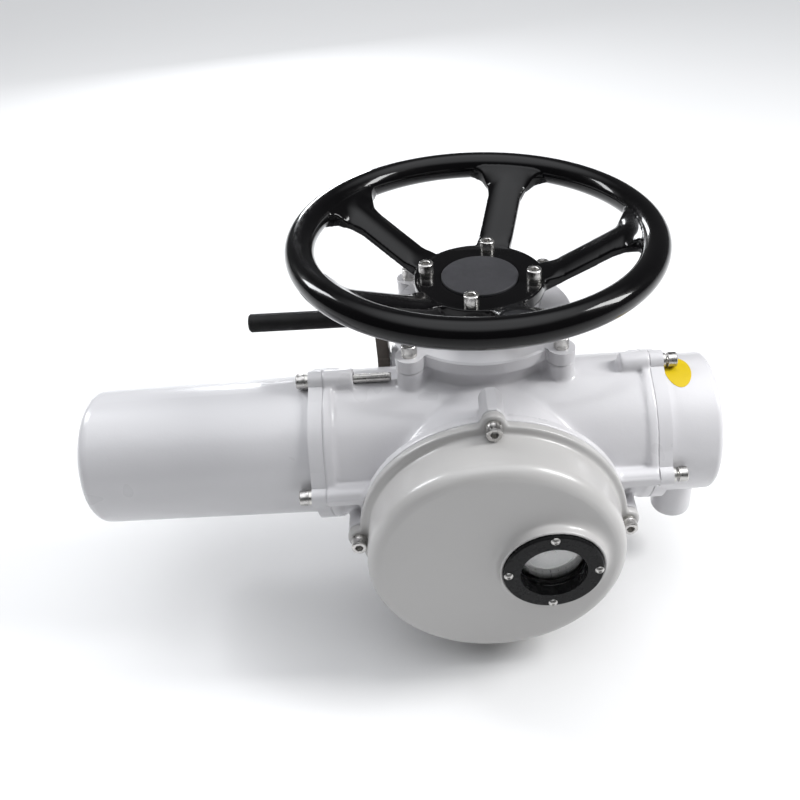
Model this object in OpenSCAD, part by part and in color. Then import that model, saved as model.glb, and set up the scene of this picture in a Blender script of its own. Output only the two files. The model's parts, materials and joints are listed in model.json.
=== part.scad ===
// Motorized multi-turn valve actuator with an emergency handwheel, a hand/auto clutch lever,
// a motor on one side, a terminal compartment on the other and a control compartment in front.
// Origin: centre of the valve flange's bottom face. +Z up along the output drive,
// +X along the terminal compartment, -Y out of the control compartment's window.

/* [Handwheel] */
// Outer diameter of the handwheel
wheel_od = 320; // [300:2:330]
// Diameter of the round rim tube
rim_d = 24; // [20:1:28]
// Height of the rim's centre plane
rim_z = 330; // [325:1:338]
// Number of spokes
spoke_n = 5; // [3:1:6]
// Width of a spoke
spoke_w = 31; // [24:1:34]
// Direction of the first spoke, in degrees
spoke_a = 2; // [0:1:20]
// Radius of the wheel's hub plate
hub_r = 56; // [55:0.5:60]
// Height of the hub plate's top face
hub_top = 290.5; // [289:0.5:292]
// Thickness of the hub plate
hub_t = 12.5; // [11:0.5:13]
// Radius of the cap in the middle of the hub
cap_r = 33.5; // [28:0.5:35]
// Radius of the hub screws' circle
hub_bolt_r = 47.2; // [44:0.1:48]
// Direction of the first hub screw, in degrees
hub_bolt_a = 78; // [0:1:90]

/* [Gear housing] */
// Radius of the valve flange
flange_r = 87.5; // [85:0.5:92]
// Thickness of the valve flange
flange_t = 25; // [22:1:28]
// Radius of the valve flange's bolt circle
flange_bolt_r = 70; // [68:0.5:72]
// Radius of the valve flange's threaded holes
flange_hole_r = 8; // [6:0.5:9]
// Radius of the upper neck
neck_r = 76; // [75:0.5:78]
// Radius of the lower neck
foot_r = 62; // [60:0.5:66]
// Height of the seam between the neck and its cover
neck_top = 244.5; // [243:0.5:246]
// Radius of the gear chamber
chamber_r = 62; // [61:0.5:64]

/* [Motor side] */
// Distance from the output axis forward to the motor and worm axis
worm_y = 60; // [60:1:60]
// Height of the motor and worm axis
worm_z = 164; // [163:1:166]
// Radius of the arm that carries the motor
left_arm_r = 64; // [62:0.5:66]
// Distance of the motor seam from the output axis
left_seam = 137.5; // [135:0.5:140]
// Radius of the motor cover at its flange
motor_r = 60.5; // [60:0.5:61]
// Radius of the motor cover at its closed end
motor_end_r = 57.5; // [56.5:0.5:59]
// Distance of the motor cover's closed end from the output axis
motor_end = 338; // [334:1:348]
// Radius of the motor flange bolts' circle
left_bolt_r = 68.5; // [68:0.5:70]

/* [Terminal side] */
// Radius of the arm that carries the terminal compartment
right_arm_r = 65.5; // [64:0.5:67]
// Distance of the terminal seam from the output axis
right_seam = 140; // [138:0.5:142]
// Radius of the terminal cover
term_r = 62; // [61:0.5:62.5]
// Distance of the terminal cover's closed end from the output axis
term_end = 198; // [198:1:204]
// Radius of the terminal flange bolts' circle
right_bolt_r = 69.5; // [69:0.1:69.5]
// Distance of the cable boss from the output axis
gland_x = 178.5; // [178:0.5:178.5]
// Radius of the cable boss
gland_r = 19; // [18:0.5:19]
// Radius of the cable boss's threaded hole
gland_hole_r = 12.5; // [8:0.5:12.5]
// Height of the cable boss's lower face
gland_z = 57; // [55:1:66]
// Distance of the oval label's centre from the output axis
label_x = 165; // [164:0.5:180]
// Direction of the oval label around the terminal cover, in degrees from the top to the front
label_a = 4.7; // [0:0.1:60]

/* [Control compartment] */
// Height of the control compartment's axis
ctl_z = 129.2; // [128:0.1:131]
// Radius of the control housing
ctl_r = 100; // [98:0.5:102]
// Radius of the control compartment's flange
ctl_lip_r = 113; // [111:0.5:114]
// Distance of the control seam in front of the output axis
ctl_seam = 138; // [137:0.5:139]
// Radius of the control cover
dome_r = 105.7; // [104:0.1:106]
// Distance of the control cover's front face
dome_front = 188.5; // [186:0.5:190]
// Radius of the control cover bolts' circle
ctl_bolt_r = 113.6; // [113.6:0.1:114.5]
// Sideways position of the window
win_x = 42.5; // [38:0.5:44]
// Height of the window
win_z = 134; // [130:0.5:136]
// Radius of the window ring
win_r = 40.5; // [40:0.5:41.5]
// Radius of the window's clear opening
win_open_r = 27; // [24:0.5:28]

/* [Top cover] */
// Radius of the top cover
top_r = 82; // [80:0.5:84]
// Height of the top cover's flat face
top_z = 256; // [254:0.5:258]
// Distance of each top cover bolt along X and along Y
top_bolt = 63.3; // [62.8:0.1:64]

/* [Clutch lever] */
// Distance of the lever shaft behind the output axis
lever_y = 20; // [18:1:22]
// Height of the lever shaft
lever_z = 192; // [192:1:192]
// Length of the crank from shaft to grip
crank_l = 50; // [46:1:54]
// Distance of the grip's free end from the output axis
grip_end = 208.5; // [190:0.5:220]
// Radius of the grip
grip_r = 8.4; // [7:0.1:10]

/* [Hidden] */
$fn = 72;
e = 0.1;
wy = -worm_y;
run = 0.05;
bolt_r = 4;
bolt_hole_r = 4.1;
head_r = 6.5;
head_h = 8;
spring_t = 2.5;
hub_bot = hub_top - hub_t;
sleeve_r = 30;
bore_r = 20;
hand_r = 26;
ring_z = 187;
pin_r = 3.7;
lift_arm = 10;
grip_z = lever_z + crank_l;
lip_l = 11.5;
pad_y = 195;
pad_lip = 3.5;
teeth = 40;

// A cylinder along +X from x0 to x1
module cyl_x(r, x0, x1, y = 0, z = 0) {
    translate([x0, y, z]) rotate([0, 90, 0]) cylinder(r = r, h = x1 - x0);
}

// A cylinder along +Y from y0 to y1
module cyl_y(r, y0, y1, x = 0, z = 0) {
    translate([x, y1, z]) rotate([90, 0, 0]) cylinder(r = r, h = y1 - y0);
}

// A cylinder along +Z from z0 to z1
module cyl_z(r, z0, z1, x = 0, y = 0) {
    translate([x, y, z0]) cylinder(r = r, h = z1 - z0);
}

// A plain ring about Z
module tube(ro, ri, h) {
    difference() {
        cylinder(r = ro, h = h);
        translate([0, 0, -1]) cylinder(r = ri, h = h + 2);
    }
}

// A ring about the motor axis
module tube_x(ro, ri, x0, x1) {
    translate([x0, wy, worm_z]) rotate([0, 90, 0]) tube(ro, ri, x1 - x0);
}

// A ring about the control compartment's direction
module tube_y(ro, ri, y0, y1, x = 0, z = 0) {
    translate([x, y1, z]) rotate([90, 0, 0]) tube(ro, ri, y1 - y0);
}

// A segment of a ring about Z, w degrees wide and centred on direction a
module segment(ro, ri, z0, z1, a, w) {
    translate([0, 0, z0]) rotate([0, 0, a - w / 2])
        rotate_extrude(angle = w) translate([ri, 0]) square([ro - ri, z1 - z0]);
}

// Places children on four spots of a circle about the motor axis
module on_x(r) {
    for (a = [0 : 90 : 270])
        translate([0, wy, worm_z]) rotate([a, 0, 0]) translate([0, 0, r]) children();
}

// Places children on four spots of a circle about the control axis
module on_y(r) {
    for (a = [0 : 90 : 270])
        translate([0, 0, ctl_z]) rotate([0, a, 0]) translate([0, 0, r]) children();
}

// Places children on the top cover's four bolt axes
module on_top() {
    for (sx = [-1, 1], sy = [-1, 1]) translate([sx * top_bolt, sy * top_bolt, 0]) children();
}

// The closed end of a round cover with an edge radius k, from z = 0 to z = k
module round_end(r, k) {
    rotate_extrude() {
        square([r - k, k]);
        intersection() {
            translate([r - k, 0]) circle(r = k);
            square([r + 1, k + 1]);
        }
    }
}

// A socket head cap screw: seat at z = 0, head up, shank down
module cap_screw(l) {
    difference() {
        union() {
            cylinder(r = head_r, h = head_h - 0.8);
            translate([0, 0, head_h - 0.8]) cylinder(r1 = head_r, r2 = head_r - 0.8, h = 0.8);
            translate([0, 0, -l + 1]) cylinder(r = bolt_r, h = l);
            translate([0, 0, -l]) cylinder(r1 = bolt_r - 1, r2 = bolt_r, h = 1);
        }
        translate([0, 0, head_h - 4.5]) cylinder(r = 3.46, h = 6, $fn = 6);
    }
}

// A split spring washer, seat at z = 0
module spring_washer() {
    difference() {
        tube(6.4, 4.1, spring_t);
        rotate([0, 0, 40]) translate([3, -0.5, -1]) cube([6, 1, 5]);
    }
}

// A deep groove bearing drawn as its two races and the cage space between them
module bearing(ro, ri, h) {
    m = (ro + ri) / 2;
    difference() {
        tube(ro, ri, h);
        translate([0, 0, -1]) tube(m + (ro - ri) / 6, m - (ro - ri) / 6, 2.5);
        translate([0, 0, h - 1.5]) tube(m + (ro - ri) / 6, m - (ro - ri) / 6, 2.5);
    }
}

// ---- Fixed casting ----

// The lug that runs along an arm under one of its bolts, from x0 to x1
module arm_lug(x0, x1, r = 9) {
    cyl_x(r, x0, x1);
    translate([x0, -r + 0.4, -r * 2]) cube([x1 - x0, r * 2 - 0.8, r * 2]);
}

// Flare on a round lip where it swells out to a bolt, from x0 to x1 about the motor axis
module lip_flare(x0, x1, lip, br) {
    translate([x0, 0, 0]) rotate([0, 90, 0]) linear_extrude(x1 - x0)
        polygon([[-lip * 0.86, -lip * 0.5], [-br, -8.9], [-br, 8.9], [-lip * 0.86, lip * 0.5]]);
}

module housing_solid() {
    cyl_z(flange_r, 0, flange_t);
    cyl_z(foot_r, flange_t - 1, 112);
    cyl_z(neck_r, 100, neck_top);
    cyl_x(left_arm_r, -left_seam, 0, wy, worm_z);
    cyl_x(right_arm_r, 0, right_seam, wy, worm_z);
    cyl_x(66, -left_seam, -left_seam + 8, wy, worm_z);
    cyl_x(67, right_seam - 8, right_seam, wy, worm_z);
    cyl_y(ctl_r, -ctl_seam, -40, 0, ctl_z);
    cyl_y(ctl_lip_r, -ctl_seam, -ctl_seam + 8, 0, ctl_z);
    cyl_x(15, -84, -60, lever_y, lever_z);
    on_top() {
        cyl_z(12, 218, neck_top);
        translate([0, 0, 214]) cylinder(r1 = 8, r2 = 12, h = 4);
    }
    // ribs that tie the top lugs to the neck
    for (a = [45 : 90 : 315]) rotate([0, 0, a]) translate([71, -9, 219]) cube([17, 18, neck_top - 219]);
    on_y(ctl_bolt_r) {
        cyl_y(10, -ctl_seam, -108);
        translate([-9.6, -ctl_seam, -22]) cube([19.2, 30, 22]);
    }
    translate([0, wy, worm_z]) {
        // four lugs on each arm; the front ones run on into the control housing
        for (a = [0 : 90 : 270]) rotate([a, 0, 0]) {
            translate([0, 0, left_bolt_r]) arm_lug(-left_seam, a == 90 ? -90 : -112);
            translate([0, 0, right_bolt_r]) arm_lug(a == 90 ? 90 : 114, right_seam, a == 90 ? 8.3 : 9);
        }
        for (a = [0 : 90 : 270]) rotate([a, 0, 0]) {
            lip_flare(-left_seam, -left_seam + 8, 66, left_bolt_r);
            lip_flare(right_seam - 8, right_seam, 67, right_bolt_r);
        }
    }
}

module gear_housing() {
    color("gainsboro") difference() {
        housing_solid();
        // gear chamber, sump and bearing seats on the output axis
        cyl_z(chamber_r, 128, neck_top + 1);
        cyl_z(48.02, 108, 129);
        cyl_z(45, 46, 109);
        cyl_z(48.02, 26, 46.5);
        cyl_z(40.02, 8, 27);
        cyl_z(32, -1, 9);
        // worm channel, motor cavity and terminal cavity on the motor axis
        cyl_x(26.02, -103.5, 84, wy, worm_z);
        cyl_x(56, -left_seam - 1, -103, wy, worm_z);
        cyl_x(57, 88, right_seam + 1, wy, worm_z);
        // control cavity, and the deeper space around the neck and the worm tube
        cyl_y(90, -ctl_seam - 1, -96, 0, ctl_z);
        difference() {
            cyl_y(85, -97, -45, 0, ctl_z);
            cyl_z(72, 0, 300);
            cyl_x(34, -120, 120, wy, worm_z);
        }
        // wire passage between the control and terminal cavities
        cyl_x(9, 70, 95, -108, 165);
        // lever shaft bore and its seal seat
        cyl_x(8 + run, -85, -40, lever_y, lever_z);
        cyl_x(11.02, -84.5, -80, lever_y, lever_z);
        // threaded holes of the valve flange
        for (a = [45 : 90 : 315]) rotate([0, 0, a]) cyl_z(flange_hole_r, -1, 24, flange_bolt_r);
        // cover bolts
        on_top() cyl_z(bolt_hole_r, 224, neck_top + 1);
        on_y(ctl_bolt_r) cyl_y(bolt_hole_r, -ctl_seam - 1, -112);
        on_x(left_bolt_r) cyl_x(bolt_hole_r, -left_seam - 1, -100);
        on_x(right_bolt_r) cyl_x(bolt_hole_r, 118, right_seam + 1);
        // seal grooves
        translate([0, 0, neck_top - 2.8]) tube(67.5, 64.5, 4);
        tube_y(97.5, 94.5, -ctl_seam - 1, -ctl_seam + 2.8, 0, ctl_z);
        tube_x(62, 59, -left_seam - 1, -left_seam + 2.8);
        tube_x(63, 60, right_seam - 2.8, right_seam + 1);
    }
}

// ---- Covers ----

module top_cover() {
    color("gainsboro") difference() {
        union() {
            cyl_z(top_r, neck_top, top_z - 1.5);
            translate([0, 0, top_z - 1.5]) cylinder(r1 = top_r, r2 = top_r - 1.5, h = 1.5);
            on_top() cyl_z(12, neck_top, top_z);
            for (a = [45 : 90 : 315]) rotate([0, 0, a])
                translate([70, -10.5, neck_top]) cube([18, 21, top_z - neck_top]);
            cyl_z(chamber_r - 0.1, 238, neck_top + 1);
            cyl_z(52, 226, 240);
            cyl_z(50, top_z - 1, 264);
            translate([0, 0, 264]) cylinder(r1 = 50, r2 = 48, h = 2);
        }
        cyl_z(27.5, 220, 270);
        cyl_z(42.02, 225, 246);
        cyl_z(38.02, 258, 270);
        on_top() cyl_z(bolt_hole_r, neck_top - 1, top_z + 1);
    }
}

module motor_cover() {
    color("silver") difference() {
        union() {
            translate([0, wy, worm_z]) rotate([0, -90, 0]) {
                translate([0, 0, left_seam]) cylinder(r = 66, h = lip_l);
                translate([0, 0, left_seam + lip_l - 1])
                    cylinder(r1 = motor_r, r2 = motor_end_r, h = motor_end - 9 - left_seam - lip_l);
                translate([0, 0, motor_end - 10]) round_end(motor_end_r, 10);
            }
            on_x(left_bolt_r) cyl_x(9, -left_seam - lip_l, -left_seam);
            translate([0, wy, worm_z]) for (a = [0 : 90 : 270]) rotate([a, 0, 0])
                lip_flare(-left_seam - lip_l, -left_seam, 66, left_bolt_r);
        }
        translate([-left_seam + 1, wy, worm_z]) rotate([0, -90, 0])
            cylinder(r1 = 56, r2 = 53, h = motor_end - left_seam - 6.5);
        cyl_x(17.52, 5 - motor_end, 18 - motor_end, wy, worm_z);
        on_x(left_bolt_r) cyl_x(bolt_hole_r, -left_seam - lip_l - 1, -left_seam + 1);
    }
}

module terminal_cover() {
    color("gainsboro") difference() {
        union() {
            translate([0, wy, worm_z]) rotate([0, 90, 0]) {
                translate([0, 0, right_seam]) cylinder(r = 67, h = lip_l);
                translate([0, 0, right_seam + lip_l - 1])
                    cylinder(r = term_r, h = term_end - 6 - right_seam - lip_l + 1);
                translate([0, 0, term_end - 6]) round_end(term_r, 6);
            }
            on_x(right_bolt_r) cyl_x(9, right_seam, right_seam + lip_l);
            translate([0, wy, worm_z]) for (a = [0 : 90 : 270]) rotate([a, 0, 0])
                lip_flare(right_seam, right_seam + lip_l, 67, right_bolt_r);
            cyl_z(gland_r, gland_z + 4, 120, gland_x, wy);
            translate([gland_x, wy, gland_z + 4]) mirror([0, 0, 1]) round_end(gland_r, 4);
        }
        cyl_x(57, right_seam - 1, term_end - 5, wy, worm_z);
        cyl_z(gland_hole_r, gland_z - 1, 125, gland_x, wy);
        // pocket in the cable boss for the head of the bottom screw
        on_x(right_bolt_r) cyl_x(7.3, right_seam + lip_l, right_seam + lip_l + 14);
        on_x(right_bolt_r) cyl_x(bolt_hole_r, right_seam - 1, right_seam + lip_l + 1);
    }
}

module control_cover() {
    color("lightgray") difference() {
        union() {
            cyl_y(ctl_lip_r, -ctl_seam - 8, -ctl_seam, 0, ctl_z);
            on_y(ctl_bolt_r) {
                cyl_y(10, -ctl_seam - 8, -ctl_seam);
                translate([-9.6, -ctl_seam - 8, -12]) cube([19.2, 8, 12]);
            }
            translate([0, -ctl_seam, ctl_z]) rotate([90, 0, 0]) {
                cylinder(r = dome_r, h = dome_front - ctl_seam - 12);
                translate([0, 0, dome_front - ctl_seam - 12]) round_end(dome_r, 12);
            }
            // raised pad around the window
            cyl_y(win_r + 3, -pad_y - pad_lip, -dome_front + 1, win_x, win_z);
        }
        cyl_y(100, -ctl_seam - 35, -ctl_seam + 1, 0, ctl_z);
        cyl_y(93, -dome_front + 4.5, -ctl_seam - 34, 0, ctl_z);
        cyl_y(win_r + 0.3, -pad_y - 9, -pad_y, win_x, win_z);
        cyl_y(win_open_r + 0.5, -200, -180, win_x, win_z);
        cyl_y(32.02, -pad_y - 1, -185.5, win_x, win_z);
        bezel_spots() cyl_y(2.1, -pad_y - 1, -189.5);
        on_y(ctl_bolt_r) cyl_y(bolt_hole_r, -ctl_seam - 9, -ctl_seam + 1);
    }
}

// ---- Seals between the covers and the casting ----

module top_cover_seal() {
    color("black") translate([0, 0, neck_top - 2.7]) tube(67.4, 64.6, 2.7);
}

module control_cover_seal() {
    color("black") tube_y(97.4, 94.6, -ctl_seam, -ctl_seam + 2.7, 0, ctl_z);
}

module motor_cover_seal() {
    color("black") tube_x(61.9, 59.1, -left_seam, -left_seam + 2.7);
}

module terminal_cover_seal() {
    color("black") tube_x(62.9, 60.1, right_seam - 2.7, right_seam);
}

// ---- Fasteners of the covers ----

module top_cover_bolts() {
    color("silver") on_top() translate([0, 0, top_z + spring_t]) cap_screw(30);
}

module top_cover_washers() {
    color("lightsteelblue") on_top() translate([0, 0, top_z]) spring_washer();
}

module motor_cover_bolts() {
    // the upper one is longer than the rest and its end stands out of its lug
    color("silver") for (a = [0 : 90 : 270])
        translate([0, wy, worm_z]) rotate([a, 0, 0])
            translate([-left_seam - lip_l - spring_t, 0, left_bolt_r]) rotate([0, -90, 0])
                cap_screw(a == 0 ? 71 : 34);
}

module motor_cover_washers() {
    color("lightsteelblue") on_x(left_bolt_r)
        translate([-left_seam - lip_l, 0, 0]) rotate([0, -90, 0]) spring_washer();
}

module terminal_cover_bolts() {
    // these stand a little proud of their washers
    color("silver") on_x(right_bolt_r)
        translate([right_seam + lip_l + spring_t + 2.5, 0, 0]) rotate([0, 90, 0]) cap_screw(33);
}

module terminal_cover_washers() {
    color("lightsteelblue") on_x(right_bolt_r)
        translate([right_seam + lip_l, 0, 0]) rotate([0, 90, 0]) spring_washer();
}

module control_cover_bolts() {
    color("silver") on_y(ctl_bolt_r)
        translate([0, -ctl_seam - 8 - spring_t, 0]) rotate([90, 0, 0]) cap_screw(34);
}

module control_cover_washers() {
    color("lightsteelblue") on_y(ctl_bolt_r)
        translate([0, -ctl_seam - 8, 0]) rotate([90, 0, 0]) spring_washer();
}

// ---- Window ----

// Places children on the four screws of the window ring
module bezel_spots() {
    for (a = [0 : 90 : 270]) translate([win_x, 0, win_z])
        rotate([0, a, 0]) translate([0, 0, 36.4]) children();
}

module window_bezel() {
    color("dimgray") difference() {
        union() {
            cyl_y(win_r, -pad_y - 5, -pad_y, win_x, win_z);
            translate([win_x, -pad_y - 5, win_z]) rotate([90, 0, 0])
                cylinder(r1 = win_r, r2 = win_r - 1, h = 1);
            cyl_y(31.8, -pad_y - 1, -191, win_x, win_z);
        }
        cyl_y(win_open_r, -pad_y - 8, -190, win_x, win_z);
        bezel_spots() cyl_y(2.1, -pad_y - 8, -pad_y + 1);
    }
}

module window_glass() {
    color("lightcyan", 0.4) cyl_y(31.9, -191, -187, win_x, win_z);
}

module window_gasket() {
    color("black") tube_y(31.9, win_open_r + 0.5, -187, -185.5, win_x, win_z);
}

module bezel_screws() {
    color("silver") bezel_spots() difference() {
        union() {
            cyl_y(2, -pad_y - 7, -190);
            translate([0, -pad_y - 6, 0]) rotate([90, 0, 0])
                rotate_extrude() intersection() {
                    translate([0, -2.2]) circle(r = 4.4);
                    square([3.8, 3]);
                }
        }
        translate([0, -pad_y - 7.2, 0]) rotate([90, 0, 0]) cylinder(r = 1.44, h = 4, $fn = 6);
    }
}

module oval_label() {
    // thin oval label wrapped on the terminal cover
    color("gold") intersection() {
        tube_x(term_r + 0.3, term_r + 0.02, 140, 200);
        translate([label_x, wy, worm_z]) rotate([label_a, 0, 0]) linear_extrude(80)
            polygon([for (a = [0 : 7.5 : 352.5]) [11.6 * cos(a), 19.2 * sin(a)]]);
    }
}

// ---- Bearings and shaft seals ----

module lower_bearing() {
    color("silver") translate([0, 0, 27]) bearing(48, sleeve_r + 0.02, 18);
}

module middle_bearing() {
    color("silver") translate([0, 0, 109]) bearing(48, sleeve_r + 0.02, 18);
}

module hand_bearing() {
    color("silver") translate([0, 0, 229]) bearing(42, hand_r + 0.02, 16);
}

module output_seal() {
    color("black") translate([0, 0, 10]) tube(40, sleeve_r + 0.1, 10);
}

module hand_seal() {
    color("black") translate([0, 0, 258.5]) tube(38, hand_r + 0.1, 7);
}

module lever_seal() {
    color("black") translate([-84, lever_y, lever_z]) rotate([0, 90, 0]) tube(11, 8 + run, 3.5);
}

module worm_bearings() {
    color("silver") for (x = [-102, 68])
        translate([x, wy, worm_z]) rotate([0, 90, 0]) bearing(26, 12.02, 14);
}

module motor_bearings() {
    color("silver") {
        translate([8 - motor_end, wy, worm_z]) rotate([0, 90, 0]) bearing(17.5, 8.02, 9.5);
        translate([-131, wy, worm_z]) rotate([0, 90, 0]) bearing(20, 9.02, 11);
    }
}

// ---- Motor ----

module motor_endshield() {
    color("darkgray") difference() {
        cyl_x(55.95, -134, -116, wy, worm_z);
        cyl_x(20.02, -135, -119.5, wy, worm_z);
        cyl_x(14, -120, -115, wy, worm_z);
        for (a = [0 : 60 : 300]) translate([0, wy, worm_z]) rotate([a, 0, 0])
            cyl_x(9, -135, -115, 0, 38);
    }
}

module stator_core() {
    color("slategray") difference() {
        tube_x(52.5, 28.5, 38 - motor_end, -225);
        for (a = [0 : 15 : 345]) translate([37 - motor_end, wy, worm_z]) rotate([a, 0, 0])
            translate([0, -1.2, 30.5]) cube([motor_end - 261, 2.4, 12]);
    }
}

module stator_windings() {
    color("peru") {
        tube_x(47, 30, 21 - motor_end, 37.8 - motor_end);
        tube_x(47, 30, -224.8, -208);
    }
}

module rotor_core() {
    color("gray") tube_x(27.8, 9.02, 40 - motor_end, -227);
}

module worm_shaft() {
    color("lightslategray") {
        cyl_x(8, 8 - motor_end, 20 - motor_end, wy, worm_z);
        cyl_x(9, 20 - motor_end, -106, wy, worm_z);
        cyl_x(12, -106, 83, wy, worm_z);
    }
}

module worm() {
    // straight ring grooves in the pitch of a worm
    color("goldenrod") difference() {
        tube_x(16, 12.02, -36, 36);
        for (i = [-6 : 6]) translate([i * 5.5, wy, worm_z]) rotate([0, 90, 0])
            rotate_extrude() polygon([[13, -0.8], [17, -1.9], [17, 1.9], [13, 0.8]]);
    }
}

module disc_springs() {
    color("steelblue") for (i = [0 : 4]) translate([42 + i * 5, wy, worm_z]) rotate([0, 90, 0])
        tube(20, 12.05, 3);
}

// ---- Output drive and clutch ----

module output_sleeve() {
    color("lightslategray") difference() {
        cyl_z(sleeve_r, 2, 203);
        cyl_z(bore_r, 1, 204);
    }
}

module worm_wheel() {
    color("darkgoldenrod") difference() {
        translate([0, 0, 152]) tube(43.3, sleeve_r + 0.02, 24);
        for (i = [0 : teeth - 1]) rotate([0, 0, i * 360 / teeth])
            translate([41, -1.5, 151]) cube([5, 3, 26]);
        for (a = [0 : 90 : 270]) segment(40.6, 31, 168, 177, a, 36);
    }
}

module clutch_ring() {
    color("steelblue") {
        difference() {
            translate([0, 0, 179]) tube(42, sleeve_r + run, 16);
            translate([0, 0, ring_z - 4]) tube(43, 36, 8);
        }
        for (a = [0 : 90 : 270]) {
            segment(39.8, 32, 170, 179.5, a, 30);
            segment(40, 32, 194.5, 201, a, 30);
        }
    }
}

module hand_sleeve() {
    color("lightslategray") {
        difference() {
            union() {
                cyl_z(42, 214, 221);
                cyl_z(hand_r, 220, 271);
                cyl_z(54, 270, hub_bot);
            }
            cyl_z(bore_r + 0.5, 213, 280);
            hub_bolt_spots() cyl_z(bolt_hole_r, 269, 280);
        }
        for (a = [45 : 90 : 315]) segment(40, 32, 206, 214.5, a, 30);
    }
}

// ---- Handwheel ----

// Places children on the hub screws
module hub_bolt_spots() {
    for (i = [0 : 3]) rotate([0, 0, hub_bolt_a + i * 90]) translate([hub_bolt_r, 0, 0]) children();
}

// Plan outline of all the spokes, flared where they meet the rim
module spoke_plan() {
    rim_c = (wheel_od - rim_d) / 2;
    for (i = [0 : spoke_n - 1]) rotate([0, 0, spoke_a + i * 360 / spoke_n]) {
        translate([30, -spoke_w / 2]) square([rim_c - 34, spoke_w]);
        polygon([[112, -spoke_w / 2], [122, -spoke_w / 2 - 3], [130, -spoke_w / 2 - 11],
            [133, -spoke_w / 2 - 22], [141, -spoke_w / 2 - 22], [141, spoke_w / 2 + 22],
            [133, spoke_w / 2 + 22], [130, spoke_w / 2 + 11], [122, spoke_w / 2 + 3],
            [112, spoke_w / 2]]);
    }
    circle(r = hub_r + 1);
}

module handwheel() {
    rim_c = (wheel_od - rim_d) / 2;
    color("black") difference() {
        union() {
            translate([0, 0, rim_z]) rotate_extrude() translate([rim_c, 0]) circle(d = rim_d);
            cyl_z(hub_r, hub_bot, hub_top);
            intersection() {
                rotate_extrude() polygon([[50, hub_bot], [hub_r - 2, hub_bot], [138, rim_z - 9],
                    [146, rim_z - 6], [146, rim_z + 6], [136, rim_z + 3], [hub_r - 1, hub_top],
                    [50, hub_top]]);
                translate([0, 0, 250]) linear_extrude(100) spoke_plan();
            }
        }
        cyl_z(bore_r + 0.5, hub_bot - 1, hub_top + 1);
        cyl_z(cap_r + 0.1, hub_top - 2, hub_top + 1);
        hub_bolt_spots() cyl_z(bolt_hole_r + 0.1, hub_bot - 1, hub_top + 1);
    }
}

module hub_cap() {
    color("dimgray") {
        cyl_z(cap_r, hub_top - 1.9, hub_top + 1.2);
        translate([0, 0, hub_top + 1.2]) cylinder(r1 = cap_r, r2 = cap_r - 0.6, h = 0.6);
    }
}

module hub_bolts() {
    color("silver") hub_bolt_spots() translate([0, 0, hub_top + spring_t]) cap_screw(22);
}

module hub_washers() {
    color("lightsteelblue") hub_bolt_spots() translate([0, 0, hub_top]) spring_washer();
}

// ---- Hand/auto lever ----

module lever_shaft() {
    color("slategray") {
        cyl_x(8, -97, -47, lever_y, lever_z);
        cyl_x(14, -50.2, -45, lever_y, lever_z);
        cyl_x(pin_r, -46, -37.3, lever_y - lift_arm * cos(30), lever_z - lift_arm * sin(30));
    }
}

module crank_arm() {
    color("darkslategray") difference() {
        union() {
            cyl_x(13, -97, -86, lever_y, lever_z);
            cyl_x(10, -97, -86, lever_y, grip_z);
            translate([-97, lever_y - 9, lever_z]) cube([11, 18, crank_l]);
        }
        cyl_x(8.02, -98, -85, lever_y, lever_z);
        cyl_x(5.02, -98, -85, lever_y, grip_z);
    }
}

module grip_rod() {
    color("slategray") {
        cyl_x(5, -grip_end + 6, -83, lever_y, grip_z);
        cyl_x(8, -86, -82, lever_y, grip_z);
    }
}

module lever_grip() {
    color("black") difference() {
        union() {
            cyl_x(grip_r, -grip_end + 1.5, -97.2, lever_y, grip_z);
            translate([-grip_end + 1.5, lever_y, grip_z]) rotate([0, -90, 0])
                cylinder(r1 = grip_r, r2 = grip_r - 1.5, h = 1.5);
        }
        cyl_x(5.02, -grip_end + 5.9, -96, lever_y, grip_z);
    }
}

// ---- Control compartment ----

module control_plate() {
    color("silver") difference() {
        cyl_y(89, -103, -100, 0, ctl_z);
        cyl_y(14, -104, -99, -40, ctl_z - 55);
        cyl_y(12, -104, -99, 62, ctl_z + 42);
        translate([56, -104, ctl_z - 60]) cube([20, 5, 20]);
    }
}

module reduction_box() {
    color("khaki") difference() {
        translate([win_x - 27, -150, win_z - 26]) cube([54, 47, 52]);
        cyl_y(3 + run, -151, -136, win_x, win_z);
        for (x = [-22, 22], z = [-21, 21]) cyl_y(2, -151, -140, win_x + x, win_z + z);
    }
}

module limit_switches() {
    color("dimgray") for (i = [0 : 3]) difference() {
        translate([-70 + i * 19, -146, 90]) cube([16, 43, 30]);
        cyl_y(2.5, -147, -138, -62 + i * 19, 112);
    }
}

module torque_switches() {
    color("firebrick") for (i = [0, 1]) difference() {
        translate([-55 + i * 24, -140, 148]) cube([20, 37, 34]);
        cyl_y(3, -141, -132, -45 + i * 24, 172);
    }
}

module control_board() {
    color("darkgreen") {
        translate([-36, -128, 58]) cube([72, 2, 26]);
        for (x = [-30, -6, 18]) translate([x, -138, 62]) cube([12, 10, 18]);
        for (x = [-33, 29]) translate([x, -126, 60]) cube([4, 23, 4]);
    }
}

module position_dial() {
    color("white") {
        difference() {
            cyl_y(24, -181, -179, win_x, win_z);
            tube_y(19, 18, -182, -180.5, win_x, win_z);
        }
        cyl_y(3, -179.5, -137, win_x, win_z);
        translate([win_x - 1, -182, win_z + 4]) cube([2, 1.5, 13]);
        cyl_y(5, -182.5, -180.5, win_x, win_z);
    }
}

// ---- Terminal compartment ----

module terminal_plate() {
    color("silver") difference() {
        cyl_x(56.8, 112, 115, wy, worm_z);
        cyl_x(12, 111, 116, wy - 40, worm_z);
    }
}

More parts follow.
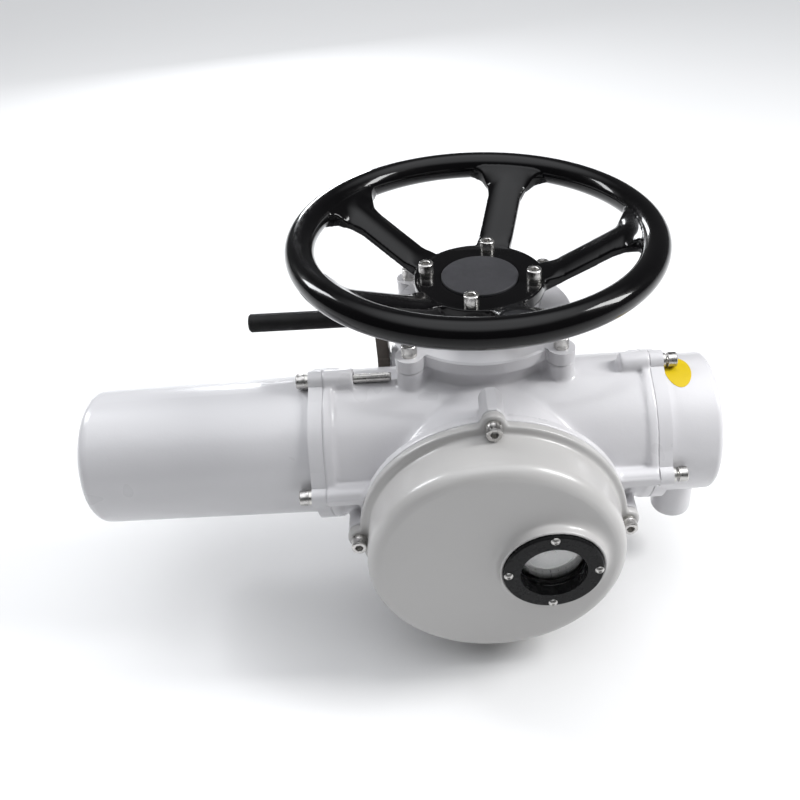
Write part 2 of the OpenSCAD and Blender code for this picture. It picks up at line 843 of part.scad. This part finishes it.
module terminal_block() {
    color("darkolivegreen") difference() {
        union() {
            cyl_x(44, 115, 122, wy, worm_z);
            cyl_x(42, 121, 138, wy, worm_z);
        }
        cyl_x(20, 130, 140, wy, worm_z);
        for (a = [0 : 30 : 330]) translate([0, wy, worm_z]) rotate([a, 0, 0])
            cyl_x(2.6, 130, 139, 0, 32);
    }
}

module terminal_screws() {
    color("gold") for (a = [0 : 30 : 330]) translate([0, wy, worm_z]) rotate([a, 0, 0]) {
        cyl_x(2.5, 130.2, 139, 0, 32);
        cyl_x(4, 138.5, 141, 0, 32);
    }
}

gear_housing();
top_cover();
motor_cover();
terminal_cover();
control_cover();
top_cover_seal();
motor_cover_seal();
terminal_cover_seal();
control_cover_seal();
top_cover_bolts();
motor_cover_bolts();
terminal_cover_bolts();
control_cover_bolts();
top_cover_washers();
motor_cover_washers();
terminal_cover_washers();
control_cover_washers();
window_bezel();
window_glass();
window_gasket();
bezel_screws();
oval_label();
lower_bearing();
middle_bearing();
hand_bearing();
output_seal();
hand_seal();
lever_seal();
worm_bearings();
motor_endshield();
motor_bearings();
stator_core();
stator_windings();
control_plate();
reduction_box();
limit_switches();
torque_switches();
control_board();
terminal_plate();
terminal_block();
terminal_screws();
handwheel();
hub_cap();
hub_bolts();
hub_washers();
hand_sleeve();
lever_shaft();
crank_arm();
grip_rod();
lever_grip();
worm_shaft();
worm();
rotor_core();
disc_springs();
output_sleeve();
worm_wheel();
clutch_ring();
position_dial();
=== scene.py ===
import json
import math

import bmesh
import bpy
import numpy as np
from mathutils import Matrix, Vector


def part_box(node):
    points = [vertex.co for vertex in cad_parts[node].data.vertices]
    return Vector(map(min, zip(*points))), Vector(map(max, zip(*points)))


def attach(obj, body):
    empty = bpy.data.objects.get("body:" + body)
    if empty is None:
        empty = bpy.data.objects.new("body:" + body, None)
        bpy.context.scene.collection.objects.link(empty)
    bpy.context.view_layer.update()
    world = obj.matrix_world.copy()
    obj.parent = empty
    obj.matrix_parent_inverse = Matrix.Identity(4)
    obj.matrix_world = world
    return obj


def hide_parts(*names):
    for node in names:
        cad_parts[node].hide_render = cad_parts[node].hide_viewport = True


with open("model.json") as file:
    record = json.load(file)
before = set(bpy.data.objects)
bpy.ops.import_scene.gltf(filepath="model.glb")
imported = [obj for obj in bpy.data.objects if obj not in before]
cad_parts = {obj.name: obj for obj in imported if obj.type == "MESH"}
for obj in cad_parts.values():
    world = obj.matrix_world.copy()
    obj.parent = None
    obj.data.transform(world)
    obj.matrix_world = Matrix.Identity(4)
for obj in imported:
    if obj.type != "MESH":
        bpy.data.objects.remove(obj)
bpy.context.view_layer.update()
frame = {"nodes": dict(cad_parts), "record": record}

scene = bpy.context.scene
nodes = frame["nodes"]
MM = 0.001


# ---------------------------------------------------------------- camera
CAMERA_AT = (-0.03254, -0.64164, 0.66262)
YAW, PITCH_DOWN, ROLL = 4.57, 36.85, -0.56          # degrees
LENS, SENSOR = 38.25, 36.0                          # mm
SHIFT_X, SHIFT_Y = -0.128, -0.029


def place_camera():
    """Camera at the reference view: in front, a little to the left, looking down."""
    yaw, pitch, roll = (math.radians(a) for a in (YAW, PITCH_DOWN, ROLL))
    ahead = Vector((math.sin(yaw) * math.cos(pitch), math.cos(yaw) * math.cos(pitch),
                    -math.sin(pitch)))
    right = Vector((math.cos(yaw), -math.sin(yaw), 0))
    up = right.cross(ahead)
    r = right * math.cos(roll) + up * math.sin(roll)
    u = -right * math.sin(roll) + up * math.cos(roll)
    data = bpy.data.cameras.new("camera")
    cam = bpy.data.objects.new("camera", data)
    scene.collection.objects.link(cam)
    m = Matrix((r, u, -ahead)).transposed().to_4x4()
    m.translation = Vector(CAMERA_AT)
    cam.matrix_world = m
    data.sensor_width = SENSOR
    data.lens = LENS
    data.shift_x = SHIFT_X
    data.shift_y = SHIFT_Y
    data.clip_start = 0.01
    scene.camera = cam


place_camera()


# ---------------------------------------------------------------- materials
def shader_base(name):
    m = bpy.data.materials.new(name)
    m.use_nodes = True
    nt = m.node_tree
    return m, nt, nt.nodes["Principled BSDF"]


def noise(nt, scale, detail):
    """A noise in object space; scale is in features per metre."""
    co = nt.nodes.new("ShaderNodeTexCoord")
    n = nt.nodes.new("ShaderNodeTexNoise")
    n.inputs["Scale"].default_value = scale
    n.inputs["Detail"].default_value = detail
    n.inputs["Roughness"].default_value = 0.55
    nt.links.new(co.outputs["Object"], n.inputs["Vector"])
    return n.outputs["Fac"]


def ramp(nt, fac, low, high):
    """Maps the middle half of a noise onto a span of values."""
    r = nt.nodes.new("ShaderNodeMapRange")
    r.inputs["From Min"].default_value = 0.25
    r.inputs["From Max"].default_value = 0.75
    r.inputs["To Min"].default_value = low
    r.inputs["To Max"].default_value = high
    nt.links.new(fac, r.inputs["Value"])
    return r.outputs["Result"]


def blend_colour(nt, fac, c0, c1):
    mix = nt.nodes.new("ShaderNodeMix")
    mix.data_type = "RGBA"
    mix.inputs[6].default_value = (*c0, 1)
    mix.inputs[7].default_value = (*c1, 1)
    nt.links.new(fac, mix.inputs[0])
    return mix.outputs[2]


def add_bump(nt, bsdf, layers):
    """Stacks noise bumps; each layer is (features per metre, height in metres, detail)."""
    last = None
    for scale, height, detail in layers:
        b = nt.nodes.new("ShaderNodeBump")
        b.inputs["Strength"].default_value = 1.0
        b.inputs["Distance"].default_value = height
        nt.links.new(noise(nt, scale, detail), b.inputs["Height"])
        if last:
            nt.links.new(last, b.inputs["Normal"])
        last = b.outputs["Normal"]
    nt.links.new(last, bsdf.inputs["Normal"])


def surface(name, colour, shade, rough, metal=0.0, coat=0.0, coat_rough=0.05,
            patch=14.0, bumps=(), spec=0.5, coat_ior=1.5):
    """A painted, plated or moulded surface with patchy tone, gloss and relief.

    colour and shade are the two tones, rough the two ends of its roughness, patch the
    tone patches per metre and bumps the relief layers.
    """
    m, nt, bsdf = shader_base(name)
    tone = blend_colour(nt, ramp(nt, noise(nt, patch, 2.0), 0.0, 1.0), colour, shade)
    nt.links.new(tone, bsdf.inputs["Base Color"])
    nt.links.new(ramp(nt, noise(nt, patch * 3.3, 2.0), rough[0], rough[1]),
                 bsdf.inputs["Roughness"])
    bsdf.inputs["Metallic"].default_value = metal
    bsdf.inputs["Coat Weight"].default_value = coat
    bsdf.inputs["Coat Roughness"].default_value = coat_rough
    bsdf.inputs["Coat IOR"].default_value = coat_ior
    bsdf.inputs["Specular IOR Level"].default_value = spec
    if bumps:
        add_bump(nt, bsdf, bumps)
    return m


# relief layers: features per metre, height in metres, detail
PEEL = ((520.0, 0.00006, 2.0), (45.0, 0.0002, 1.0))
MACHINED = ((900.0, 0.00004, 6.0), (160.0, 0.00006, 2.0))
MOULDED = ((1500.0, 0.00005, 4.0),)

mats = {
    "enamel": surface("enamel", (0.65, 0.643, 0.66), (0.615, 0.608, 0.625), (0.26, 0.38),
                      coat=0.3, coat_rough=0.12, patch=6.0, bumps=PEEL),
    "enamel_motor": surface("enamel_motor", (0.62, 0.616, 0.632), (0.585, 0.581, 0.597),
                            (0.26, 0.38), coat=0.3, coat_rough=0.12, patch=6.0, bumps=PEEL),
    # the control cover's copy of the grey enamel, made darker than the housing's as painted
    # shade for its face turned away from the lamps
    "enamel_control": surface("enamel_control", (0.49, 0.483, 0.475), (0.455, 0.447, 0.44),
                              (0.28, 0.40), coat=0.3, coat_rough=0.14, patch=6.0, bumps=PEEL),
    "wheel_black": surface("wheel_black", (0.0018, 0.0017, 0.0021), (0.003, 0.0028, 0.0031),
                           (0.16, 0.26), coat=1.0, coat_rough=0.025, patch=20.0, spec=0.07,
                           coat_ior=1.27, bumps=((38.0, 0.0005, 2.0), (420.0, 0.00003, 2.0))),
    "cap_grey": surface("cap_grey", (0.026, 0.026, 0.029), (0.033, 0.033, 0.037),
                        (0.55, 0.72), patch=40.0, spec=0.3, bumps=MOULDED),
    "screw_steel": surface("screw_steel", (0.62, 0.61, 0.59), (0.46, 0.45, 0.44),
                           (0.22, 0.42), metal=1.0, patch=160.0, bumps=MACHINED),
    "washer_steel": surface("washer_steel", (0.68, 0.67, 0.64), (0.50, 0.49, 0.47),
                            (0.25, 0.45), metal=1.0, patch=140.0, bumps=MACHINED),
    "seal_rubber": surface("seal_rubber", (0.018, 0.018, 0.018), (0.028, 0.028, 0.028),
                           (0.6, 0.8), patch=80.0, bumps=MOULDED),
    "bezel_black": surface("bezel_black", (0.006, 0.006, 0.0065), (0.010, 0.010, 0.0105),
                           (0.22, 0.34), patch=60.0, spec=0.12,
                           bumps=((600.0, 0.00006, 4.0),)),
    "label_yellow": surface("label_yellow", (0.66, 0.48, 0.008), (0.61, 0.44, 0.008),
                            (0.40, 0.55), patch=60.0, spec=0.25, bumps=((300.0, 0.0001, 2.0),)),
    "bearing_steel": surface("bearing_steel", (0.70, 0.70, 0.70), (0.60, 0.60, 0.60),
                             (0.12, 0.25), metal=1.0, patch=60.0, bumps=MACHINED),
    "shaft_steel": surface("shaft_steel", (0.52, 0.52, 0.53), (0.40, 0.40, 0.41),
                           (0.22, 0.38), metal=1.0, patch=50.0, bumps=MACHINED),
    "core_steel": surface("core_steel", (0.20, 0.21, 0.23), (0.13, 0.14, 0.15),
                          (0.4, 0.6), metal=1.0, patch=50.0, bumps=MACHINED),
    "winding_copper": surface("winding_copper", (0.50, 0.17, 0.06), (0.36, 0.11, 0.04),
                              (0.3, 0.5), metal=1.0, patch=90.0,
                              bumps=((700.0, 0.0004, 1.0),)),
    "gear_bronze": surface("gear_bronze", (0.56, 0.33, 0.12), (0.42, 0.24, 0.09),
                           (0.25, 0.42), metal=1.0, patch=60.0, bumps=MACHINED),
    "inner_aluminium": surface("inner_aluminium", (0.62, 0.62, 0.63), (0.52, 0.52, 0.53),
                               (0.3, 0.5), metal=1.0, patch=30.0, bumps=MACHINED),
    "inner_plastic": surface("inner_plastic", (0.035, 0.036, 0.038), (0.05, 0.05, 0.052),
                             (0.45, 0.6), patch=60.0, bumps=MOULDED),
    "board_green": surface("board_green", (0.01, 0.09, 0.03), (0.015, 0.12, 0.05),
                           (0.3, 0.45), patch=90.0, bumps=MOULDED),
    "contact_brass": surface("contact_brass", (0.60, 0.42, 0.15), (0.48, 0.33, 0.11),
                             (0.2, 0.4), metal=1.0, patch=90.0, bumps=MACHINED),
    "dial_white": surface("dial_white", (0.82, 0.82, 0.80), (0.76, 0.76, 0.74),
                          (0.4, 0.55), patch=60.0, bumps=MOULDED),
    # clutch crank: its dark paint is real, and its brown tint is a painted reflection of its
    # shaded, warm surroundings
    "crank_dark": surface("crank_dark", (0.085, 0.072, 0.062), (0.13, 0.115, 0.10),
                          (0.30, 0.48), metal=0.6, patch=50.0,
                          bumps=((300.0, 0.00025, 3.0),)),
    "grip_black": surface("grip_black", (0.0045, 0.0045, 0.005), (0.008, 0.008, 0.008),
                          (0.45, 0.62), patch=60.0, spec=0.2,
                          bumps=((1100.0, 0.00018, 1.0), (90.0, 0.0003, 2.0))),
}


def glass_material():
    m, nt, bsdf = shader_base("window_glass")
    nt.links.new(ramp(nt, noise(nt, 60.0, 4.0), 0.02, 0.06), bsdf.inputs["Roughness"])
    bsdf.inputs["Base Color"].default_value = (0.98, 0.99, 1.0, 1)
    bsdf.inputs["Transmission Weight"].default_value = 1.0
    bsdf.inputs["IOR"].default_value = 1.45
    bsdf.inputs["Alpha"].default_value = 0.35
    add_bump(nt, bsdf, ((80.0, 0.00005, 2.0),))
    return m


mats["window_glass"] = glass_material()

EDGE_BREAK, EDGE_ANGLE = 0.35 * MM, 35.0
slot_of = {s["node"]: s["material_slot"] for s in frame["record"]["subparts"]}


def paint(obj, slot):
    obj.data.materials.clear()
    obj.data.materials.append(mats[slot])


def smooth(obj):
    """Smooth shading, with a fine bevel where faces meet steeply."""
    for p in obj.data.polygons:
        p.use_smooth = True
    mod = obj.modifiers.new("round_edges", "BEVEL")
    mod.width = EDGE_BREAK
    mod.segments = 2
    mod.limit_method = "ANGLE"
    mod.angle_limit = math.radians(EDGE_ANGLE)


for name, obj in nodes.items():
    paint(obj, slot_of[name])


# ---------------------------------------------------------------- castings
def mesh_arrays(me):
    """Corner positions and edge ends of a mesh."""
    n = len(me.vertices)
    co = np.empty(n * 3)
    me.vertices.foreach_get("co", co)
    ed = np.empty(len(me.edges) * 2, np.int64)
    me.edges.foreach_get("vertices", ed)
    return co.reshape(-1, 3), ed.reshape(-1, 2)


def vertex_normals(me, co):
    me.vertices.foreach_set("co", co.ravel())
    me.update()
    nor = np.empty(len(co) * 3)
    me.vertex_normals.foreach_get("vector", nor)
    return nor.reshape(-1, 3)


def laplace(co, ed, deg):
    """From each point to the mean of its neighbours."""
    out = np.empty_like(co)
    n = len(co)
    for k in range(3):
        out[:, k] = (np.bincount(ed[:, 0], co[ed[:, 1], k], n)
                     + np.bincount(ed[:, 1], co[ed[:, 0], k], n))
    return out / deg[:, None] - co


def relax(me, even, fill, region=None, shape=None):
    """Softens a remeshed casting: `even` passes smooth everything a little, then `fill`
    passes lift only the inner corners, which grows fillets there and keeps outer edges.
    region(co) gives the share, 0 to 1, of the filling that each point takes, and shape(co)
    moves points before any of it."""
    co, ed = mesh_arrays(me)
    if shape:
        co = shape(co)
    deg = np.maximum(np.bincount(ed.ravel(), minlength=len(co)), 1)
    for _ in range(even):
        co += 0.5 * laplace(co, ed, deg)
    share = region(co)[:, None] if region else 1.0
    nor = vertex_normals(me, co)
    for i in range(fill):
        if i % 6 == 5:
            nor = vertex_normals(me, co)
        lap = laplace(co, ed, deg)
        inward = (lap * nor).sum(1, keepdims=True) > 0
        co += np.where(inward, 0.5, 0.0) * share * lap
    if fill:
        for _ in range(2):
            co += 0.4 * laplace(co, ed, deg)
    return co


def recast(name, node, voxel, even, fill, region=None, fix=None, shape=None):
    """A cast copy of a CAD node with fillets, which replaces the node."""
    src = nodes[node]
    ob = bpy.data.objects.new(name, src.data.copy())
    scene.collection.objects.link(ob)
    mod = ob.modifiers.new("cast", "REMESH")
    mod.mode = "VOXEL"
    mod.voxel_size = voxel * MM
    bpy.context.view_layer.update()
    dg = bpy.context.evaluated_depsgraph_get()
    me = bpy.data.meshes.new_from_object(ob.evaluated_get(dg))
    ob.modifiers.clear()
    old = ob.data
    ob.data = me
    bpy.data.meshes.remove(old)
    co = relax(me, even, fill, region, shape)
    if fix:
        co = fix(co)
    lo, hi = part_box(node)
    co = np.clip(co, np.array(lo), np.array(hi))
    me.vertices.foreach_set("co", co.ravel())
    me.update()
    for p in me.polygons:
        p.use_smooth = True
    paint(ob, slot_of[node])
    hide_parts(node)
    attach(ob, node_body[node])


node_body = {n: b for b, ns in frame["record"]["behaviour"]["bodies"].items() for n in ns}
coarse = 1.0


def blend(t, lo, hi):
    """0 below lo, 1 above hi, smooth in between."""
    u = np.clip((t - lo) / (hi - lo), 0, 1)
    return u * u * (3 - 2 * u)


def housing_region(co):
    """Wide fillets where the arms, the neck and the control housing meet, small ones near
    the seams, and none on the flange face, its holes or the inner bores."""
    r = np.hypot(co[:, 0], co[:, 1])
    inside = (r < BORE_ZONE_R) | (co[:, 2] < FLANGE_TOP)
    out = 0.15 + 0.85 * (1 - blend(np.abs(co[:, 0]), *ARM_ENDS))
    out *= 0.25 + 0.75 * (1 - blend(co[:, 2], *NECK_END))
    return np.where(inside, 0.0, out)


def seams(co, voxel):
    """Presses the housing's corners back onto its four seam planes, so that seams stay thin."""
    reach = voxel * 0.9
    lo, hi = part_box("gear_housing")
    for axis, at in ((0, lo.x), (0, hi.x), (1, lo.y), (2, hi.z)):
        near = np.abs(co[:, axis] - at) < reach
        co[near, axis] = at
    return co


def clear_bore(co):
    """Keeps the remeshed bore of the lever shaft just clear of the shaft."""
    hinge = next(j for j in frame["record"]["behaviour"]["joints"]
                 if j["name"] == "clutch_lever_swing")
    at = np.array(hinge["pos_m"])
    dy, dz = co[:, 1] - at[1], co[:, 2] - at[2]
    d = np.hypot(dy, dz)
    along = np.abs(co[:, 0] - LEVER_BORE_MID) < LEVER_BORE_HALF
    inside = (d < LEVER_BORE_R) & (d > 1e-6) & along
    k = np.where(inside, LEVER_BORE_R / np.maximum(d, 1e-6), 1.0)
    co[:, 1], co[:, 2] = at[1] + dy * k, at[2] + dz * k
    return co


def rim_fix(co):
    """Puts the outside of the rim back on its exact ring, so that reflections run true."""
    lo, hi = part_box("handwheel")
    tube = RIM_TUBE
    ring, mid = (hi.x - lo.x) / 2 - tube, hi.z - tube
    r = np.hypot(co[:, 0], co[:, 1])
    dr, dz = r - ring, co[:, 2] - mid
    d = np.hypot(dr, dz)
    # full pull on the outer half, fading towards the side where spokes join
    side = np.clip((dr / np.maximum(d, 1e-9) + 0.55) / 0.35, 0, 1)
    near = (np.abs(d - tube) < RIM_REACH) | (dr > 0)
    on_ring = (d < tube + RIM_SKIN) * 1.0
    w = np.where(near & (d > tube * 0.8), np.maximum(side, on_ring), 0.0)
    k = 1 + w * (tube / np.maximum(d, 1e-9) - 1)
    nr, nz = ring + dr * k, mid + dz * k
    out = co.copy()
    out[:, 0] *= nr / r
    out[:, 1] *= nr / r
    out[:, 2] = nz
    # the hub plate stays flat under its screws
    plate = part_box("hub_washers")[0].z
    on_plate = r < HUB_PLATE_R - PLATE_EDGE
    out[:, 2] = np.where(on_plate, np.minimum(out[:, 2], plate), out[:, 2])
    return out


def pad_region(co):
    """A wide blend round the window pad, a small one everywhere else."""
    lo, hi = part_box("window_bezel")
    mid = (lo + hi) / 2
    r = np.hypot(co[:, 0] - mid.x, co[:, 2] - mid.z)
    rim = (hi.x - lo.x) / 2
    seat = rim + PAD_SEAT
    near = (r > seat) & (r < rim * 1.7) & (co[:, 1] < hi.y + PAD_DEPTH)
    return np.where(near, 1.0, np.where(r < seat, 0.0, 0.12))


def wheel_region(co):
    """Wide fillets between the spokes and the hub, smaller ones at the rim."""
    r = np.hypot(co[:, 0], co[:, 1])
    return 0.60 + 0.40 * (1 - blend(r, *HUB_FILLETS))


def crown(co):
    """Rounds the flat tops of the spokes from edge to edge."""
    r = np.hypot(co[:, 0], co[:, 1])
    step = 2 * math.pi / SPOKES
    a = np.arctan2(co[:, 1], co[:, 0]) - math.radians(SPOKE_START)
    a = (a + step / 2) % step - step / 2
    across = np.abs(r * np.sin(a)) / (SPOKE_WIDTH / 2)
    lo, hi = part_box("handwheel")
    floor_z = lo.z + (r - HUB_PLATE_R) * (hi.z - RIM_TUBE * 1.5 - lo.z) / SPOKE_RUN
    top = co[:, 2] > floor_z + WEB_HALF
    here = blend(r, HUB_PLATE_R, CROWN_START) * (1 - blend(r, *CROWN_END))
    co[:, 2] -= np.where(top, here * CROWN * np.clip(across, 0, 1.2) ** 2, 0)
    return co


# handwheel, measured from its axis
RIM_TUBE, RIM_REACH, RIM_SKIN = 12 * MM, 1.6 * MM, 0.6 * MM
HUB_PLATE_R, PLATE_EDGE, HUB_FILLETS = 0.056, 1.5 * MM, (0.080, 0.100)
SPOKES, SPOKE_START, SPOKE_WIDTH = 5, 2, 31 * MM
SPOKE_RUN, WEB_HALF = 0.082, 0.006
CROWN, CROWN_START, CROWN_END = 4.5 * MM, 0.072, (0.122, 0.134)
# main casting
HOUSING_VOXEL = 1.4
BORE_ZONE_R, FLANGE_TOP = 0.060, 0.024
ARM_ENDS, NECK_END = (0.100, 0.118), (0.205, 0.232)
LEVER_BORE_R, LEVER_BORE_MID, LEVER_BORE_HALF = 8.4 * MM, -71 * MM, 15 * MM
# control cover, round its window pad
PAD_SEAT, PAD_DEPTH = 0.002, 0.006

recast("housing_casting", "gear_housing", HOUSING_VOXEL * coarse, 2, 24, housing_region,
       lambda co: clear_bore(seams(co, HOUSING_VOXEL * coarse * MM)))
recast("control_cover_casting", "control_cover", 1.2 * coarse, 2, 70, pad_region)
recast("handwheel_casting", "handwheel", 1.0 * coarse, 4, 260, wheel_region, rim_fix, crown)

cast = {"gear_housing", "control_cover", "handwheel"}
for name, obj in nodes.items():
    if name not in cast:
        smooth(obj)


def add_mesh(name, verts, faces):
    """A new object from corners and faces."""
    me = bpy.data.meshes.new(name)
    me.from_pydata(verts, [], faces)
    me.update()
    ob = bpy.data.objects.new(name, me)
    scene.collection.objects.link(ob)
    return ob


# ---------------------------------------------------------------- screws
HEAD_R, HEAD_H, SHANK_R, KEY_FLAT = 6.5 * MM, 8 * MM, 4 * MM, 3.0 * MM
PITCH = 1.25 * MM
LONG_SCREW = 40 * MM                # shanks longer than this are smooth rods
SCREW_SIDES = 48
SAME_POINT = 2e-6


def islands(node):
    """Lowest and highest corner of each separate solid in a CAD node."""
    bm = bmesh.new()
    bm.from_mesh(nodes[node].data)
    bmesh.ops.remove_doubles(bm, verts=bm.verts, dist=SAME_POINT)
    todo, out = set(bm.verts), []
    while todo:
        stack = [todo.pop()]
        lo, hi = stack[0].co.copy(), stack[0].co.copy()
        while stack:
            v = stack.pop()
            lo, hi = Vector(map(min, lo, v.co)), Vector(map(max, hi, v.co))
            for e in v.link_edges:
                w = e.other_vert(v)
                if w in todo:
                    todo.discard(w)
                    stack.append(w)
        out.append((lo, hi))
    bm.free()
    return sorted(out, key=lambda b: tuple(b[0]))


def screw_rows(length):
    """Outline of a socket head screw from its tip up, then down into the key hole.

    Each row is (height above the seat, radius, knurl depth, hexagonal)."""
    rows = [(-length, SHANK_R * 0.55, 0, False), (-length, SHANK_R * 0.75, 0, False)]
    if length > LONG_SCREW:
        rows += [(1 * MM - length, SHANK_R, 0, False)]
    turns = 0 if length > LONG_SCREW else int((length - 2 * MM) / PITCH)
    for i in range(turns):
        z = -length + 1 * MM + i * PITCH
        rows += [(z, SHANK_R * 0.86, 0, False), (z + PITCH / 2, SHANK_R, 0, False)]
    rows += [(-0.6 * MM, SHANK_R * 0.9, 0, False), (0, SHANK_R, 0, False),
             (0, HEAD_R * 0.95, 0, False), (0.3 * MM, HEAD_R, 0, False),
             (0.9 * MM, HEAD_R, 0, False), (1.2 * MM, HEAD_R, 0.05, False),
             (6.3 * MM, HEAD_R, 0.05, False), (6.6 * MM, HEAD_R * 0.99, 0, False),
             (7.3 * MM, HEAD_R * 0.985, 0, False), (7.8 * MM, HEAD_R * 0.93, 0, False),
             (HEAD_H, HEAD_R * 0.86, 0, False), (HEAD_H, KEY_FLAT + 0.35 * MM, 0, True),
             (HEAD_H - 0.3 * MM, KEY_FLAT, 0, True), (3.7 * MM, KEY_FLAT, 0, True),
             (3.2 * MM, KEY_FLAT * 0.3, 0, True)]
    return rows


def screws(name, node, axis):
    """Knurled socket head screws in place of a CAD group, heads towards axis."""
    axis = Vector(axis)
    turn = Vector((0, 0, 1)).rotation_difference(axis).to_matrix()
    seg = SCREW_SIDES
    theta = np.arange(seg) * 2 * math.pi / seg
    sixth = math.pi / 3
    hexed = 1 / np.cos((theta % sixth) - sixth / 2)
    verts, faces = [], []
    for lo, hi in islands(node):
        mid, span = (lo + hi) / 2, abs((hi - lo).dot(axis))
        seat = mid + axis * (span / 2 - HEAD_H)
        rows = screw_rows(span - HEAD_H)
        base = len(verts)
        for z, r, knurl, is_hex in rows:
            rr = r * (hexed if is_hex else 1 - knurl * (0.5 - 0.5 * np.cos(theta * seg / 2)))
            for t, q in zip(theta, np.broadcast_to(rr, theta.shape)):
                verts.append(seat + turn @ Vector((q * math.cos(t), q * math.sin(t), z)))
        for j in range(len(rows) - 1):
            a, b = base + j * seg, base + (j + 1) * seg
            for k in range(seg):
                n = (k + 1) % seg
                faces.append((a + k, a + n, b + n, b + k))
        faces.append([base + k for k in reversed(range(seg))])
        last = base + (len(rows) - 1) * seg
        faces.append([last + k for k in range(seg)])
    ob = add_mesh(name, verts, faces)
    for p in ob.data.polygons:
        p.use_smooth = True
    ob.data.set_sharp_from_angle(angle=math.radians(32))
    paint(ob, slot_of[node])
    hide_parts(node)
    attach(ob, node_body[node])


screws("hub_cap_screws", "hub_bolts", (0, 0, 1))
screws("top_cap_screws", "top_cover_bolts", (0, 0, 1))
screws("motor_cap_screws", "motor_cover_bolts", (-1, 0, 0))
screws("terminal_cap_screws", "terminal_cover_bolts", (1, 0, 0))
screws("control_cap_screws", "control_cover_bolts", (0, -1, 0))


# ---------------------------------------------------------------- dial
DIAL_FACE, INK = -0.181, 0.12 * MM
TICKS, TICKS_PER_LONG = 20, 5


def dial_marks():
    """Tick marks round the position dial, as thin raised ink."""
    lo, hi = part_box("position_dial")
    mid = (lo + hi) / 2
    reach = (hi.x - lo.x) / 2
    verts, faces = [], []

    def bar(angle, r0, r1, w):
        c, s = math.cos(angle), math.sin(angle)
        base = len(verts)
        for y in (DIAL_FACE, DIAL_FACE - INK):
            for r, side in ((r0, -w), (r1, -w), (r1, w), (r0, w)):
                verts.append((mid.x + r * c - side * s, y, mid.z + r * s + side * c))
        faces.extend([[base + i for i in f] for f in (
            (3, 2, 1, 0), (4, 5, 6, 7), (0, 1, 5, 4), (1, 2, 6, 5), (2, 3, 7, 6), (3, 0, 4, 7))])

    for i in range(TICKS):
        start, half = (0.80, 0.022) if i % TICKS_PER_LONG == 0 else (0.86, 0.012)
        bar(i * 2 * math.pi / TICKS, reach * start, reach * 0.95, reach * half)
    ob = add_mesh("dial_marks", verts, faces)
    paint(ob, "inner_plastic")
    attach(ob, "dial")


dial_marks()


# ---------------------------------------------------------------- floor and light
FLOOR = 4.0                         # half its side
floor = add_mesh("floor", [(-FLOOR, -FLOOR, 0), (FLOOR, -FLOOR, 0), (FLOOR, FLOOR, 0),
                           (-FLOOR, FLOOR, 0)], [(0, 1, 2, 3)])
floor.data.materials.append(
    surface("floor_white", (0.80, 0.80, 0.80), (0.79, 0.79, 0.79), (0.75, 0.85), patch=2.0,
            spec=0.1))


def softbox(name, at, to, size, power, colour=(1, 1, 1)):
    data = bpy.data.lights.new(name, "AREA")
    data.shape = "RECTANGLE"
    data.size, data.size_y = size
    data.energy = power
    data.color = colour
    ob = bpy.data.objects.new(name, data)
    ob.location = at
    ob.rotation_mode = "QUATERNION"
    ob.rotation_quaternion = (Vector(to) - Vector(at)).to_track_quat("-Z", "Y")
    scene.collection.objects.link(ob)


def studio_world():
    """A dim room with a bright ceiling, so that gloss stays dark except for its highlights."""
    world = bpy.data.worlds.new("studio")
    scene.world = world
    world.use_nodes = True
    nt = world.node_tree
    co = nt.nodes.new("ShaderNodeTexCoord")
    split = nt.nodes.new("ShaderNodeSeparateXYZ")
    span = nt.nodes.new("ShaderNodeMapRange")
    span.interpolation_type = "SMOOTHSTEP"
    for key, value in (("From Min", 0.66), ("From Max", 0.97), ("To Min", 0.08),
                       ("To Max", 2.25)):
        span.inputs[key].default_value = value
    nt.links.new(co.outputs["Generated"], split.inputs["Vector"])
    nt.links.new(split.outputs["Z"], span.inputs["Value"])
    back = nt.nodes["Background"]
    back.inputs["Color"].default_value = (0.96, 0.975, 1.0, 1)
    nt.links.new(span.outputs["Result"], back.inputs["Strength"])


studio_world()
softbox("window_right", at=(1.25, -0.15, 1.25), to=(0, 0, 0.15), size=(0.32, 0.8), power=23)
softbox("window_left", at=(-1.3, 0.55, 1.1), to=(-0.05, 0, 0.2), size=(0.25, 0.7), power=13,
        colour=(0.97, 0.98, 1.0))
softbox("window_back", at=(-0.5, 1.6, 0.6), to=(0, 0, 0.25), size=(0.45, 0.3), power=6,
        colour=(0.95, 0.97, 1.0))
scene.view_settings.view_transform = "Standard"
